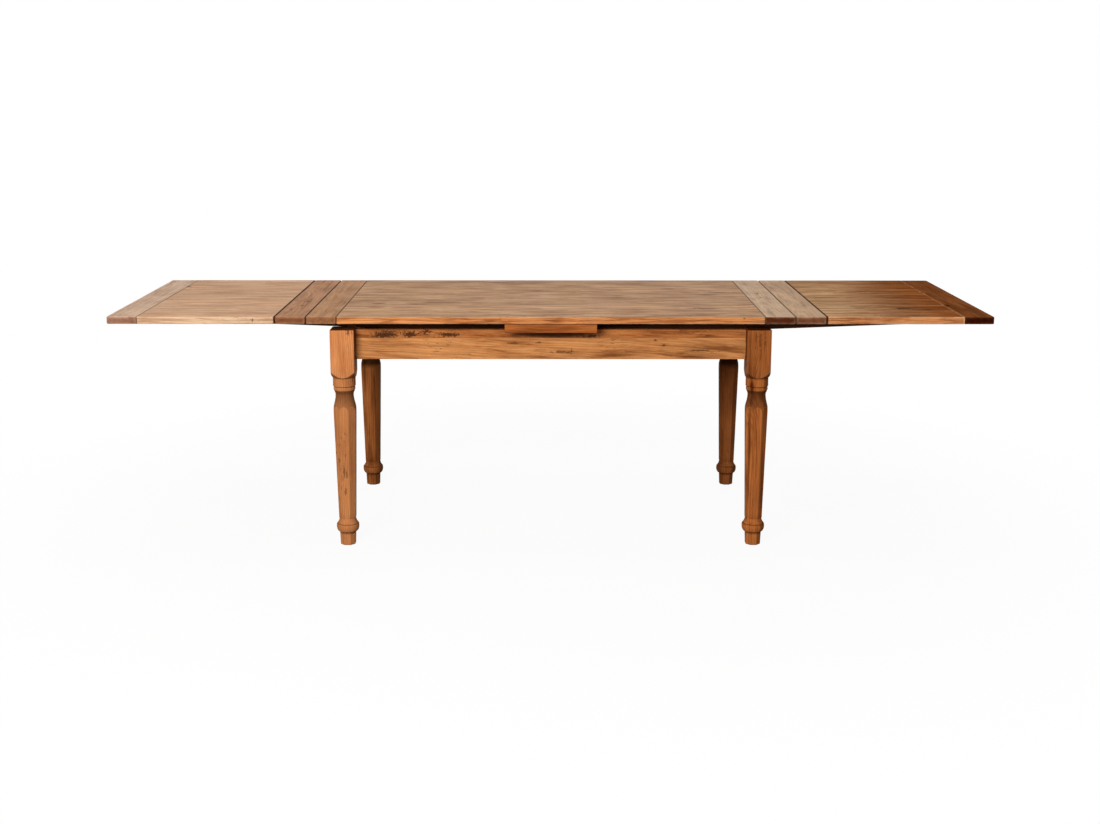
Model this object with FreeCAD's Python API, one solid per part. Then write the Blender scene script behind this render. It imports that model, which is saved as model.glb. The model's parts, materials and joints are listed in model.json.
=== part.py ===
import FreeCAD, Part
import os

os.makedirs("parts", exist_ok=True)

# overall sizes of the table, in millimetres
table_height = 790.0
main_length = 1600.0
top_depth = 900.0
board_thickness = 24.0
plank_count = 7
breadboard_width = 98.0

# clearances of the leaves, drawn out and pushed home
leaf_gap = 3.0
home_gap = 1.0
home_clearance = 0.25
draw_overtravel = 20.0
stop_clearance = 0.2

# panel joinery
end_joint = 1.6
leaf_joint = 4.0
tongue_length = 24.0
tongue_thickness = 8.0
groove_extra_depth = 1.5
tongue_inset = 30.0
edge_ease = 1.8
leaf_corner_radius = 9.0

# frame
centre_width = 302.0
apron_drop = 5.0
apron_height = 100.0
apron_upper_height = 28.0
apron_thickness = 24.0
apron_recess = 45.0
end_overhang = 72.0
front_overhang = 25.0
tenon_thickness = 10.0
long_tenon_length = 38.0
upper_tenon_height = 14.0
lower_tenon_height = 42.0
end_tenon_height = 70.0
rail_thickness = 22.0
rail_tenon_length = 12.0
rail_tenon_height = 56.0
tenon_spacing = 2.0
mortise_play = 1.0

# legs, turned and then planed to eight sides
block_side = 80.0
block_edge = 2.0
corner_bottom = 600.0
lobe_bottom = 578.0
collar_radius = 37.8
collar_bottom = 549.5
groove_height = 3.0
groove_radius = 34.3
bead_radius = 36.0
neck_level = 521.0
neck_height = 6.0
neck_radius = 30.3
shoulder_level = 480.0
shoulder_radius = 38.8
shaft_bottom = 94.0
shaft_top_flat = 37.0
shaft_bottom_flat = 27.8
ring_radius = 38.2
ring_end_radius = 28.0
ring_flare_height = 24.0
ring_slope_height = 13.0
ring_bottom = 45.0
foot_top_flat = 26.4
foot_bottom_flat = 24.6
foot_edge = 2.0

# lopers, the sloping bars that carry the leaves
loper_width = 34.0
loper_depth = 28.0
loper_margin = 28.0
loper_stagger = 57.0
loper_play = 0.3
loper_side_play = 1.0
loper_home_margin = 10.0
keeper_length = 40.0
keeper_margin = 11.0
keeper_wall = 15.0
keeper_play = 0.5
stop_block_length = 30.0
stop_block_height = 14.0

# guide pegs of the loose main top
guide_peg_side = 24.0
peg_to_loper = 75.0
guide_peg_bore = 12.0
guide_bore_play = 1.0
top_lift = 45.0
lift_clearance = 0.2
key_thickness = 8.0
key_height = 12.0
key_length = 54.0
peg_below_key = 14.0

# how far a cutter runs past the wood, and how near counts as the same place
cut_past = 1.0
near = 0.01

# levels and lengths that follow from the sizes above
panel_bottom = table_height - board_thickness
leg_top = panel_bottom - board_thickness - 2 * home_clearance
apron_top = leg_top - apron_drop
apron_bottom = apron_top - apron_height
apron_seam = apron_top - apron_upper_height
leaf_length = (main_length - centre_width - 2 * home_gap) / 2
leaf_start = main_length / 2 + leaf_gap
leaf_end = leaf_start + leaf_length
travel = leaf_end - main_length / 2
slope = (panel_bottom - leg_top - home_clearance) / travel
leg_x = main_length / 2 - end_overhang - block_side / 2
leg_y = top_depth / 2 - front_overhang - block_side / 2
end_outer = leg_x + block_side / 2 - apron_recess
end_inner = end_outer - apron_thickness
long_outer = leg_y + block_side / 2 - apron_recess
long_inner = long_outer - apron_thickness
leg_inner_x = leg_x - block_side / 2
leg_inner_y = leg_y - block_side / 2
end_tenon_end = long_outer - tenon_thickness - tenon_spacing
long_tenon_end = leg_inner_x + long_tenon_length
plank_width = top_depth / plank_count
front_loper_y = -(long_inner - loper_margin - loper_width / 2)
rear_loper_y = -front_loper_y - loper_stagger
guide_peg_y = rear_loper_y - peg_to_loper
loper_inner_end = travel - end_inner + loper_home_margin
loper_outer_end = end_outer + travel
keeper_outer_x = centre_width / 2 - keeper_margin
keeper_inner_x = keeper_outer_x - keeper_length
stop_block_end = keeper_inner_x - draw_overtravel - stop_clearance
key_top = apron_top - top_lift - lift_clearance
channel_half = loper_width / 2 + loper_side_play
tongue_low = panel_bottom + (board_thickness - tongue_thickness) / 2
tongue_high = tongue_low + tongue_thickness


def box(x0, x1, y0, y1, z0, z1):
    return Part.makeBox(x1 - x0, y1 - y0, z1 - z0, FreeCAD.Vector(x0, y0, z0))


def side_prism(points, y0, y1):
    corners = [FreeCAD.Vector(x, y0, z) for x, z in points]
    face = Part.Face(Part.makePolygon(corners + [corners[0]]))
    return face.extrude(FreeCAD.Vector(0, y1 - y0, 0))


def lines(points):
    corners = [FreeCAD.Vector(r, 0, z) for r, z in points]
    return [Part.makeLine(a, b) for a, b in zip(corners, corners[1:])]


def arc_from_upright(a, b):
    # a circular arc of a turned profile that starts upright at a and ends at b
    dr = b[0] - a[0]
    dz = b[1] - a[1]
    radius = (dr * dr + dz * dz) / (2 * abs(dr))
    side = dr / abs(dr)
    half_cosine = ((2 - abs(dr) / radius) / 2) ** 0.5
    half_sine = (1 - half_cosine ** 2) ** 0.5
    height = dz / abs(dz) * radius * half_sine
    middle = (a[0] + side * radius * (1 - half_cosine), a[1] + height)
    return Part.Arc(*[FreeCAD.Vector(r, 0, z) for r, z in (a, middle, b)]).toShape()


def turned(edges):
    face = Part.Face(Part.Wire(edges))
    return face.revolve(FreeCAD.Vector(0, 0, 0), FreeCAD.Vector(0, 0, 1), 360)


def octagon(flat, z):
    half = flat * (2 ** 0.5 - 1)
    corners = [(flat, -half), (flat, half), (half, flat), (-half, flat)]
    corners += [(-flat, half), (-flat, -half), (-half, -flat), (half, -flat)]
    points = [FreeCAD.Vector(x, y, z) for x, y in corners]
    return Part.makePolygon(points + [points[0]])


def eight_sided(flat0, z0, flat1, z1):
    return Part.makeLoft([octagon(flat0, z0), octagon(flat1, z1)], True, True)


def chosen(shape, wanted):
    # the edges of a shape whose bounding boxes answer a question
    return [edge for edge in shape.Edges if wanted(edge.BoundBox)]


def half_turn(shape):
    copy = shape.copy()
    copy.rotate(FreeCAD.Vector(0, 0, 0), FreeCAD.Vector(0, 0, 1), 180)
    return copy


def moved(shape, x, y, z):
    copy = shape.copy()
    copy.translate(FreeCAD.Vector(x, y, z))
    return copy


def save(name, shape):
    shape.exportStep("parts/" + name + ".step")


def loper_line(x):
    return apron_top - keeper_play + slope * (x - centre_width / 2)


def leg_blank():
    half = block_side / 2
    block = box(-half, half, -half, half, lobe_bottom, leg_top)
    block = block.makeChamfer(block_edge, chosen(block, lambda b: b.ZLength > near))
    corner = (half * 2 ** 0.5, corner_bottom)
    lobe = (half - block_edge, lobe_bottom)
    outline = [(0, leg_top), (corner[0], leg_top), corner, lobe, (0, lobe_bottom)]
    block = block.common(turned(lines(outline + outline[:1])))
    bead_top = collar_bottom - groove_height
    neck = (neck_radius, neck_level)
    throat = (neck_radius, neck_level - neck_height)
    shoulder = (shoulder_radius, shoulder_level)
    start = (0, lobe_bottom)
    steps = [start, (collar_radius, lobe_bottom), (collar_radius, collar_bottom)]
    steps += [(groove_radius, collar_bottom), (groove_radius, bead_top), (bead_radius, bead_top)]
    edges = lines(steps) + [arc_from_upright(neck, steps[-1])]
    edges += lines([neck, throat, shoulder, (shoulder_radius, shaft_bottom), (0, shaft_bottom), start])
    taper = (shaft_top_flat - shaft_bottom_flat) / (shoulder_level - shaft_bottom)
    top_flat = shaft_top_flat + taper * (lobe_bottom - shoulder_level)
    shaft = eight_sided(shaft_bottom_flat, shaft_bottom, top_flat, lobe_bottom)
    shaft = shaft.common(turned(edges))
    ring = [(0, shaft_bottom), (ring_end_radius, shaft_bottom)]
    ring += [(ring_radius, shaft_bottom - ring_flare_height), (ring_radius, ring_bottom + ring_slope_height)]
    ring += [(ring_end_radius, ring_bottom), (0, ring_bottom)]
    foot = eight_sided(foot_bottom_flat, foot_edge, foot_top_flat, ring_bottom)
    toe = eight_sided(foot_bottom_flat - foot_edge, 0, foot_bottom_flat, foot_edge)
    whole = block
    for piece in (shaft, turned(lines(ring + ring[:1])), foot, toe):
        whole = whole.fuse(piece)
    return whole.removeSplitter()


def corner_box(sx, sy, x0, x1, y0, y1, z0, z1):
    # a box given for the corner where X and Y are positive, placed at any corner
    xs = sorted((sx * x0, sx * x1))
    ys = sorted((sy * y0, sy * y1))
    return box(xs[0], xs[1], ys[0], ys[1], z0, z1)


def upper_tenon(sx, sy, play):
    low = apron_seam + (apron_upper_height - upper_tenon_height) / 2
    inner = long_outer - tenon_thickness
    end = long_tenon_end + play
    return corner_box(sx, sy, leg_inner_x, end, inner, long_outer, low, low + upper_tenon_height)


def lower_tenon(sx, sy, play):
    low = apron_bottom + (apron_seam - apron_bottom - lower_tenon_height) / 2
    inner = long_outer - tenon_thickness
    end = long_tenon_end + play
    return corner_box(sx, sy, leg_inner_x, end, inner, long_outer, low, low + lower_tenon_height)


def end_tenon(sx, sy, play):
    low = apron_bottom + (apron_height - end_tenon_height) / 2
    inner = end_outer - tenon_thickness
    end = end_tenon_end + play
    return corner_box(sx, sy, inner, end_outer, leg_inner_y, end, low, low + end_tenon_height)


def rail_tenon(play):
    low = apron_bottom + (apron_height - rail_tenon_height) / 2
    end = end_inner + rail_tenon_length + play
    half = tenon_thickness / 2
    return box(-end, end, -half, half, low, low + rail_tenon_height)


def notched_end_apron():
    apron = box(end_inner, end_outer, -leg_inner_y, leg_inner_y, apron_bottom, apron_top)
    for sy in (-1, 1):
        apron = apron.fuse(end_tenon(1, sy, 0))
    for y in (front_loper_y, rear_loper_y):
        ends = (end_inner - cut_past, end_outer + cut_past)
        floor = [(x, loper_line(x) - loper_depth - loper_play) for x in ends]
        mouth = [(x, apron_top + cut_past) for x in reversed(ends)]
        apron = apron.cut(side_prism(floor + mouth, y - channel_half, y + channel_half))
    return apron.cut(rail_tenon(mortise_play)).removeSplitter()


def loper(y):
    # the bar as it lies under a leaf that is drawn out to the right
    top = [(loper_inner_end, loper_line(loper_inner_end)), (leaf_start, loper_line(leaf_start))]
    seat = [(leaf_start, panel_bottom), (loper_outer_end, panel_bottom)]
    under = [(x, loper_line(x) - loper_depth) for x in (loper_outer_end, loper_inner_end)]
    return side_prism(top + seat + under, y - loper_width / 2, y + loper_width / 2)


def stop_block(y):
    ends = (stop_block_end - stop_block_length, stop_block_end)
    top = [(x, loper_line(x) - loper_depth) for x in ends]
    under = [(x, loper_line(x) - loper_depth - stop_block_height) for x in reversed(ends)]
    return side_prism(top + under, y - loper_width / 2, y + loper_width / 2)


def keeper(y):
    low = loper_line(keeper_inner_x) - loper_depth - keeper_play - keeper_wall
    half = channel_half + keeper_wall
    body = box(keeper_inner_x, keeper_outer_x, y - half, y + half, low, apron_top)
    ends = (keeper_inner_x - cut_past, keeper_outer_x + cut_past)
    floor = [(x, loper_line(x) - loper_depth - keeper_play) for x in ends]
    mouth = [(x, apron_top + cut_past) for x in reversed(ends)]
    return body.cut(side_prism(floor + mouth, y - channel_half, y + channel_half))


def along_side(b):
    return b.XLength > b.ZLength and b.YLength < near and abs(abs(b.YMin) - top_depth / 2) < near


def planks(x0, x1, joint0):
    # boards of a panel from x0 to x1, counted from the front, each with a tongue at both ends
    shoulder0 = x0 + breadboard_width + joint0
    shoulder1 = x1 - breadboard_width - end_joint
    boards = []
    for number in range(plank_count):
        y0 = -top_depth / 2 + number * plank_width
        y1 = y0 + plank_width
        board = box(shoulder0, shoulder1, y0, y1, panel_bottom, table_height)
        if number in (0, plank_count - 1):
            board = board.makeChamfer(edge_ease, chosen(board, along_side))
        t0 = max(y0, -top_depth / 2 + tongue_inset)
        t1 = min(y1, top_depth / 2 - tongue_inset)
        for a, b in ((shoulder0 - tongue_length, shoulder0), (shoulder1, shoulder1 + tongue_length)):
            board = board.fuse(box(a, b, t0, t1, tongue_low, tongue_high))
        boards.append(board.removeSplitter())
    return boards


def breadboard(joint_x, direction, joint, corner):
    # a board across the panel's end, grooved on its joint side
    outer_x = joint_x + direction * breadboard_width
    x0 = min(joint_x, outer_x)
    x1 = max(joint_x, outer_x)
    board = box(x0, x1, -top_depth / 2, top_depth / 2, panel_bottom, table_height)
    if corner > 0:
        uprights = chosen(board, lambda b: b.ZLength > near and abs(b.XMin - outer_x) < near)
        board = board.makeFillet(corner, uprights)
    level = chosen(board, lambda b: b.ZLength < near and abs(b.Center.x - joint_x) > near)
    board = board.makeChamfer(edge_ease, level)
    groove_depth = tongue_length - joint + groove_extra_depth
    groove = [joint_x, joint_x + direction * groove_depth]
    reach = top_depth / 2 - tongue_inset + groove_extra_depth
    return board.cut(box(min(groove), max(groove), -reach, reach, tongue_low, tongue_high))


def cut_all(shape, tools):
    for tool in tools:
        shape = shape.cut(tool)
    return shape


def square_peg(y, z0, z1, play):
    half = guide_peg_side / 2 + play
    return box(-half, half, y - half, y + half, z0, z1)


# guide pegs with their cross keys, and the holes that they sit in
guide_pegs = []
peg_keys = []
peg_holes = []
peg_bores = []
for y in (-guide_peg_y, guide_peg_y):
    half_key = key_thickness / 2
    key = box(-key_length / 2, key_length / 2, y - half_key, y + half_key, key_top - key_height, key_top)
    peg = square_peg(y, key_top - key_height - peg_below_key, panel_bottom + guide_peg_bore, 0)
    guide_pegs.append(peg.cut(key))
    peg_keys.append(key)
    peg_holes.append(square_peg(y, panel_bottom, panel_bottom + guide_peg_bore, 0))
    peg_bores.append(square_peg(y, apron_top - cut_past, panel_bottom + cut_past, guide_bore_play))

# legs
blank = leg_blank()
for across, sx in (("left", -1), ("right", 1)):
    for along, sy in (("front", -1), ("rear", 1)):
        leg = moved(blank, sx * leg_x, sy * leg_y, 0)
        sockets = [upper_tenon(sx, sy, mortise_play), lower_tenon(sx, sy, mortise_play)]
        sockets.append(end_tenon(sx, sy, mortise_play))
        save(along + "_" + across + "_leg", cut_all(leg, sockets))

# aprons
for along, sy in (("front", -1), ("rear", 1)):
    upper = corner_box(1, sy, -leg_inner_x, leg_inner_x, long_inner, long_outer, apron_seam, apron_top)
    lower = corner_box(1, sy, -leg_inner_x, leg_inner_x, long_inner, long_outer, apron_bottom, apron_seam)
    for sx in (-1, 1):
        upper = upper.fuse(upper_tenon(sx, sy, 0))
        lower = lower.fuse(lower_tenon(sx, sy, 0))
    save(along + "_apron_upper_strip", upper.removeSplitter())
    save(along + "_apron_lower_board", lower.removeSplitter())
end_apron = notched_end_apron()
save("right_end_apron", end_apron)
save("left_end_apron", half_turn(end_apron))

# the rail that runs from end to end under the centre board
half_rail = rail_thickness / 2
rail = box(-end_inner, end_inner, -half_rail, half_rail, apron_bottom, apron_top)
save("centre_rail", rail.fuse(rail_tenon(0)).removeSplitter())

# centre board
half_centre = centre_width / 2
centre = box(-half_centre, half_centre, -top_depth / 2, top_depth / 2, apron_top, panel_bottom)
centre = centre.makeChamfer(edge_ease, chosen(centre, along_side))
save("centre_board", cut_all(centre, peg_bores))

# lopers with their keepers and stop blocks
for along, opposite, y in (("front", "rear", front_loper_y), ("rear", "front", rear_loper_y)):
    bar = loper(y)
    save("right_" + along + "_loper", bar)
    save("left_" + opposite + "_loper", half_turn(bar))
    save("right_" + along + "_keeper", keeper(y))
    save("left_" + opposite + "_keeper", half_turn(keeper(y)))
right_blocks = Part.makeCompound([stop_block(y) for y in (front_loper_y, rear_loper_y)])
save("right_stop_blocks", right_blocks)
save("left_stop_blocks", half_turn(right_blocks))

# main top
for number, board in enumerate(planks(-main_length / 2, main_length / 2, end_joint)):
    save("main_plank_" + str(number + 1), cut_all(board, peg_holes))
joint = main_length / 2 - breadboard_width
right_end = breadboard(joint, 1, end_joint, 0)
save("main_right_breadboard", right_end)
save("main_left_breadboard", half_turn(right_end))
save("guide_pegs", Part.makeCompound(guide_pegs))
save("peg_keys", Part.makeCompound(peg_keys))

# leaves, the left one being the right one turned half round
for number, board in enumerate(planks(leaf_start, leaf_end, leaf_joint)):
    save("right_leaf_plank_" + str(number + 1), board)
    save("left_leaf_plank_" + str(plank_count - number), half_turn(board))
inner_end = breadboard(leaf_start + breadboard_width, -1, leaf_joint, 0)
outer_end = breadboard(leaf_end - breadboard_width, 1, end_joint, leaf_corner_radius)
for place, board in (("inner", inner_end), ("outer", outer_end)):
    save("right_leaf_" + place + "_breadboard", board)
    save("left_leaf_" + place + "_breadboard", half_turn(board))
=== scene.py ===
import json
import math
import random
import bpy
from mathutils import Euler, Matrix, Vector


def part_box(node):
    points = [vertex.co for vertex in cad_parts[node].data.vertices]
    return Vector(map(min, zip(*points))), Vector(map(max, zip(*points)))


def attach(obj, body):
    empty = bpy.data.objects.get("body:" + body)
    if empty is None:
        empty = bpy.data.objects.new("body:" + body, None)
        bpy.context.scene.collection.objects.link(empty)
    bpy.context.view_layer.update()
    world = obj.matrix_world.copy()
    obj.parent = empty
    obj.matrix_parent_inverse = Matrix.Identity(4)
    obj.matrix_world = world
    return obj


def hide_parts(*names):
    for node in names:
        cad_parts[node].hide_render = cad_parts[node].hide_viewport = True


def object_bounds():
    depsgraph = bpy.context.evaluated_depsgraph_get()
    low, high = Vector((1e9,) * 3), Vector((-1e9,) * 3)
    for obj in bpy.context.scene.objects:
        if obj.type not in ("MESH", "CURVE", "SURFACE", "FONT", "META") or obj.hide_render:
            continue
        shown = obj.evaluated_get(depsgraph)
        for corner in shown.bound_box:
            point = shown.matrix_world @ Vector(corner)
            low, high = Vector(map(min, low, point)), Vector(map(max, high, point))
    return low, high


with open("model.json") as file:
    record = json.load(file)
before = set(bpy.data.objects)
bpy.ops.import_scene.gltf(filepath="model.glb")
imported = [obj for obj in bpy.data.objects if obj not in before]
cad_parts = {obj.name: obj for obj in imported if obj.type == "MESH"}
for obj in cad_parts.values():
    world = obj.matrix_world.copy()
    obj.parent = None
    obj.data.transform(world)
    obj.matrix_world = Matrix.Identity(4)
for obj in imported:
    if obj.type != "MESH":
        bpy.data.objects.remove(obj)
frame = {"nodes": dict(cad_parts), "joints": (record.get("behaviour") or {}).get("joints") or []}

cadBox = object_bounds()
nodes = frame["nodes"]
dice = random.Random(20)                 # the same draws in every run
print("frame loaded,", len(nodes), "pieces of wood")


def brightness(level):                   # one channel of a paint card, 0 to 255, as light
    part = level / 255
    return part / 12.92 if level < 11 else ((part + 0.055) / 1.055) ** 2.4


def tone(r, g, b):                       # a colour as on a paint card, over 255 where painted light has to lighten
    return brightness(r), brightness(g), brightness(b), 1.0


# short ways to set out pieces and blank finishes

def setOut(name, data):
    piece = bpy.data.objects.new(name, data)
    bpy.context.scene.collection.objects.link(piece)
    return piece


def meshOf(name, spots, faces):
    mesh = bpy.data.meshes.new(name)
    mesh.from_pydata(spots, [], faces)
    return mesh


def blankFinish(name):
    material = bpy.data.materials.new(name)
    material.use_nodes = True
    material.node_tree.nodes.clear()
    return material, material.node_tree


def closeFinish(tree, skin):
    tree.links.new(skin.outputs[0], put(tree, "OutputMaterial").inputs["Surface"])


# short ways to lay down shader nodes

def put(tree, kind, values=None, **settings):
    node = tree.nodes.new("ShaderNode" + kind)
    for name, value in settings.items():
        setattr(node, name, value)
    for key, value in (values or {}).items():
        if isinstance(value, bpy.types.NodeSocket):
            tree.links.new(value, node.inputs[key])
        else:
            node.inputs[key].default_value = value
    return node


def reckon(tree, how, a, b=0.0, c=0.0):
    return put(tree, "Math", {0: a, 1: b, 2: c}, operation=how).outputs[0]


def times(tree, a, b):
    return reckon(tree, "MULTIPLY", a, b)


def more(tree, value, share, base):      # the base and a share of the value
    return reckon(tree, "MULTIPLY_ADD", value, share, base)


def greatest(tree, values):
    most = values[0]
    for other in values[1:]:
        most = reckon(tree, "MAXIMUM", most, other)
    return most


def steer(tree, how, a, b=(0.0, 0.0, 0.0), outlet="Vector"):
    return put(tree, "VectorMath", {0: a, 1: b}, operation=how).outputs[outlet]


def stretch(tree, place, along, across, deep):
    return steer(tree, "MULTIPLY", place, (along, across, deep))


def cloud(tree, place, detail=3.0, rough=0.55, twist=0.0):
    values = {"Vector": place, "Scale": 1.0, "Detail": detail, "Roughness": rough, "Distortion": twist}
    return put(tree, "TexNoise", values, noise_dimensions="3D").outputs[0]


def ease(tree, value, start, end, low=0.0, high=1.0):
    values = {0: value, 1: start, 2: end, 3: low, 4: high}
    return put(tree, "MapRange", values, interpolation_type="SMOOTHSTEP").outputs[0]


def lay(tree, amount, under, over, how="MIX"):
    values = {0: amount, 6: under, 7: over}
    return put(tree, "Mix", values, data_type="RGBA", blend_type=how, clamp_factor=True).outputs[2]


def dye(tree, amount, colour, tint):     # the colour seen through a tint, by some amount
    return lay(tree, amount, colour, lay(tree, 1.0, colour, tint, "MULTIPLY"))


def openSockets(tree, way, kinds):
    for kind, names in kinds.items():
        for name in names:
            tree.interface.new_socket(name, in_out=way, socket_type="NodeSocket" + kind)


# sawn timber: rings about a pith, long streaks, fibre, pores, knots, tool flecks and old grime

timberInlets = {"Vector": ["Grain"], "Color": ["Pale", "Honey", "Dark", "Side lighting"],
                "Float": ["Ring width", "Ring depth", "Streaks", "Knots", "Flecks", "Cracks", "Grime", "Wear",
                          "Hollow", "Gloss", "End grain", "End shade", "Long side"]}
timberOutlets = {"Color": ["Colour"], "Float": ["Roughness", "Height"]}

# each noise: changes in a metre along and across the grain, then detail, roughness and twist
timberNoise = {"waver": (3.0, 70.0, 2.0), "streak": (2.4, 36.0, 4.0, 0.62), "thin": (2.6, 120.0, 3.0, 0.6),
               "fibre": (12.0, 620.0, 3.0, 0.65), "mottle": (3.5, 5.0, 5.0, 0.6),
               "blotch": (7.0, 16.0, 4.0, 0.6), "pore": (26.0, 900.0, 2.0, 0.5),
               "dash": (34.0, 150.0, 2.0, 0.5, 0.6), "patch": (4.2, 11.0, 2.0, 0.5),
               "split": (1.5, 54.0, 3.0, 0.55), "vein": (1.1, 24.0, 3.0, 0.5), "dent": (16.0, 24.0, 3.0, 0.5)}

# where a noise or a distance turns into a mark: from, to, and the values there if not 0 and 1
timberBand = {"knotCore": (0.105, 0.045), "knotSwirl": (0.42, 0.0), "lateWood": (0.3, 0.88),
              "yearEnd": (1.0, 0.93), "pore": (0.62, 0.72), "dash": (0.56, 0.68), "patch": (0.5, 0.66),
              "split": (0.53, 0.61, 0.0, 0.85), "vein": (0.042, 0.01), "veinBreak": (0.36, 0.56),
              "streak": (0.4, 0.6), "thin": (0.4, 0.66), "deep": (0.52, 0.66), "fibre": (0.3, 0.7, 0.9, 1.08),
              "soil": (0.42, 0.7), "rubbed": (0.35, 0.62), "rough": (0.1, 0.95, 0.14, 0.92)}
timberShape = {"sway": (1.3, 4.0, 4.0), "swayReach": 0.045, "knotCells": (2.3, 7.0, 5.0), "knotPush": 4.5,
               "waver": 1.6, "middle": 0.5}
# one tint is that of the painted shade towards one end of an upper side
# the dirt colour is also that of the painted shade in hollows and under things
timberTone = {"knot": tone(118, 70, 38), "fleck": tone(62, 30, 16), "endGrain": tone(136, 80, 56),
              "endShade": tone(176, 112, 14), "dirt": tone(38, 17, 8)}
timberShare = {"streak": 0.65, "thin": 0.35, "deep": 0.8, "pore": 0.3, "swirl": 0.35, "knot": 0.9,
               "rubbed": 0.4, "dirt": 0.92}
timberSheen = {"bare": 0.86, "wax": -0.7, "blotch": 0.3, "pore": 0.15, "rubbed": -0.06}
timberRelief = {"dent": 0.8, "fibre": 0.22, "late": 0.1, "pore": -0.25, "fleck": -0.5, "core": -0.25}


def noise(tree, place, name):
    along, across, *kind = timberNoise[name]
    return cloud(tree, stretch(tree, place, along, across, across), *kind)


def band(tree, value, name):
    return ease(tree, value, *timberBand[name])


def swayGrain(tree, grain):              # the grain wanders, and no saw follows it
    middle, reach = timberShape["middle"], timberShape["swayReach"]
    values = {"Vector": stretch(tree, grain, *timberShape["sway"]), "Scale": 1.0, "Detail": 2.0}
    sway = steer(tree, "SUBTRACT", put(tree, "TexNoise", values).outputs["Color"], (middle, middle, middle))
    return steer(tree, "ADD", stretch(tree, sway, 0.0, reach, reach), grain)


def growKnots(tree, swayed, amount):     # sparse cells drawn out along the grain, only some of them filled
    values = {"Vector": stretch(tree, swayed, *timberShape["knotCells"]), "Scale": 1.0, "Randomness": 1.0}
    cells = put(tree, "TexVoronoi", values).outputs
    chance = put(tree, "SeparateColor", {0: cells["Color"]}).outputs[0]
    filled = reckon(tree, "LESS_THAN", chance, amount)
    core = times(tree, band(tree, cells["Distance"], "knotCore"), filled)
    swirl = times(tree, band(tree, cells["Distance"], "knotSwirl"), filled)
    return core, swirl


def growRings(tree, grain, swayed, swirl, width):    # late wood of each year, pushed aside by the knots
    _, aside, deep = put(tree, "SeparateXYZ", {0: swayed}).outputs
    squares = reckon(tree, "ADD", reckon(tree, "POWER", aside, 2.0), reckon(tree, "POWER", deep, 2.0))
    years = reckon(tree, "DIVIDE", reckon(tree, "SQRT", squares), width)
    years = more(tree, swirl, timberShape["knotPush"], years)
    years = more(tree, noise(tree, grain, "waver"), timberShape["waver"], years)
    season = reckon(tree, "FRACT", years)
    return times(tree, band(tree, season, "lateWood"), band(tree, season, "yearEnd"))


def growTimber(tree, given):
    grain = given["Grain"]
    swayed = swayGrain(tree, grain)
    core, swirl = growKnots(tree, swayed, given["Knots"])
    grown = {"core": core, "swirl": swirl, "late": growRings(tree, grain, swayed, swirl, given["Ring width"])}
    for name in ("streak", "thin"):
        grown[name] = noise(tree, swayed, name)
    for name in ("fibre", "mottle", "blotch", "dent"):
        grown[name] = noise(tree, grain, name)
    grown["pore"] = band(tree, noise(tree, grain, "pore"), "pore")
    dash = band(tree, noise(tree, swayed, "dash"), "dash")
    patch = band(tree, noise(tree, grain, "patch"), "patch")
    grown["fleck"] = times(tree, times(tree, dash, patch), given["Flecks"])

    # dark veins: long thin lines with broader worn stretches between them
    split = band(tree, noise(tree, swayed, "split"), "split")
    offVein = reckon(tree, "SUBTRACT", noise(tree, swayed, "vein"), timberShape["middle"])
    vein = band(tree, reckon(tree, "ABSOLUTE", offVein), "vein")
    vein = times(tree, vein, band(tree, grown["mottle"], "veinBreak"))
    grown["crack"] = times(tree, greatest(tree, [split, vein]), given["Cracks"])
    return grown


def colourTimber(tree, given, grown, rubbed):
    lean = times(tree, band(tree, grown["streak"], "streak"), timberShare["streak"])
    lean = more(tree, band(tree, grown["thin"], "thin"), timberShare["thin"], lean)
    colour = lay(tree, times(tree, lean, given["Streaks"]), given["Pale"], given["Honey"])
    deep = times(tree, given["Streaks"], timberShare["deep"])
    deep = times(tree, band(tree, grown["streak"], "deep"), deep)
    late = times(tree, grown["late"], given["Ring depth"])
    pore = times(tree, grown["pore"], timberShare["pore"])
    for amount in (deep, late, pore):
        colour = lay(tree, amount, colour, given["Dark"])
    shade = lay(tree, 1.0, colour, timberTone["knot"], "MULTIPLY")
    colour = lay(tree, times(tree, grown["swirl"], timberShare["swirl"]), colour, given["Dark"])
    colour = lay(tree, times(tree, grown["core"], timberShare["knot"]), colour, shade)
    colour = lay(tree, grown["fleck"], colour, timberTone["fleck"])
    colour = lay(tree, grown["crack"], colour, given["Dark"])
    brush = band(tree, grown["fibre"], "fibre")
    brushed = put(tree, "CombineColor", {0: brush, 1: brush, 2: brush}).outputs[0]
    colour = lay(tree, 1.0, colour, brushed, "MULTIPLY")
    colour = lay(tree, times(tree, band(tree, grown["mottle"], "soil"), given["Grime"]), colour, shade)
    colour = dye(tree, given["End grain"], colour, timberTone["endGrain"])
    # painted light and shade on the front and back edges
    colour = dye(tree, given["Long side"], colour, given["Side lighting"])
    # painted shade towards one end of the upper side
    colour = dye(tree, given["End shade"], colour, timberTone["endShade"])
    colour = lay(tree, times(tree, rubbed, timberShare["rubbed"]), colour, given["Pale"])
    # dirt and painted shade, as the Hollow mask says
    return lay(tree, times(tree, given["Hollow"], timberShare["dirt"]), colour, timberTone["dirt"])


def roughenTimber(tree, given, grown, rubbed):
    uneven = reckon(tree, "SUBTRACT", grown["blotch"], timberShape["middle"])
    rough = more(tree, given["Gloss"], timberSheen["wax"], timberSheen["bare"])
    rough = more(tree, uneven, timberSheen["blotch"], rough)
    rough = more(tree, grown["pore"], timberSheen["pore"], rough)
    rough = more(tree, rubbed, timberSheen["rubbed"], rough)
    return band(tree, rough, "rough")


def raiseTimber(tree, grown):
    height = 0.0
    for layer, depth in timberRelief.items():
        height = more(tree, grown[layer], depth, height)
    return height


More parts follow.
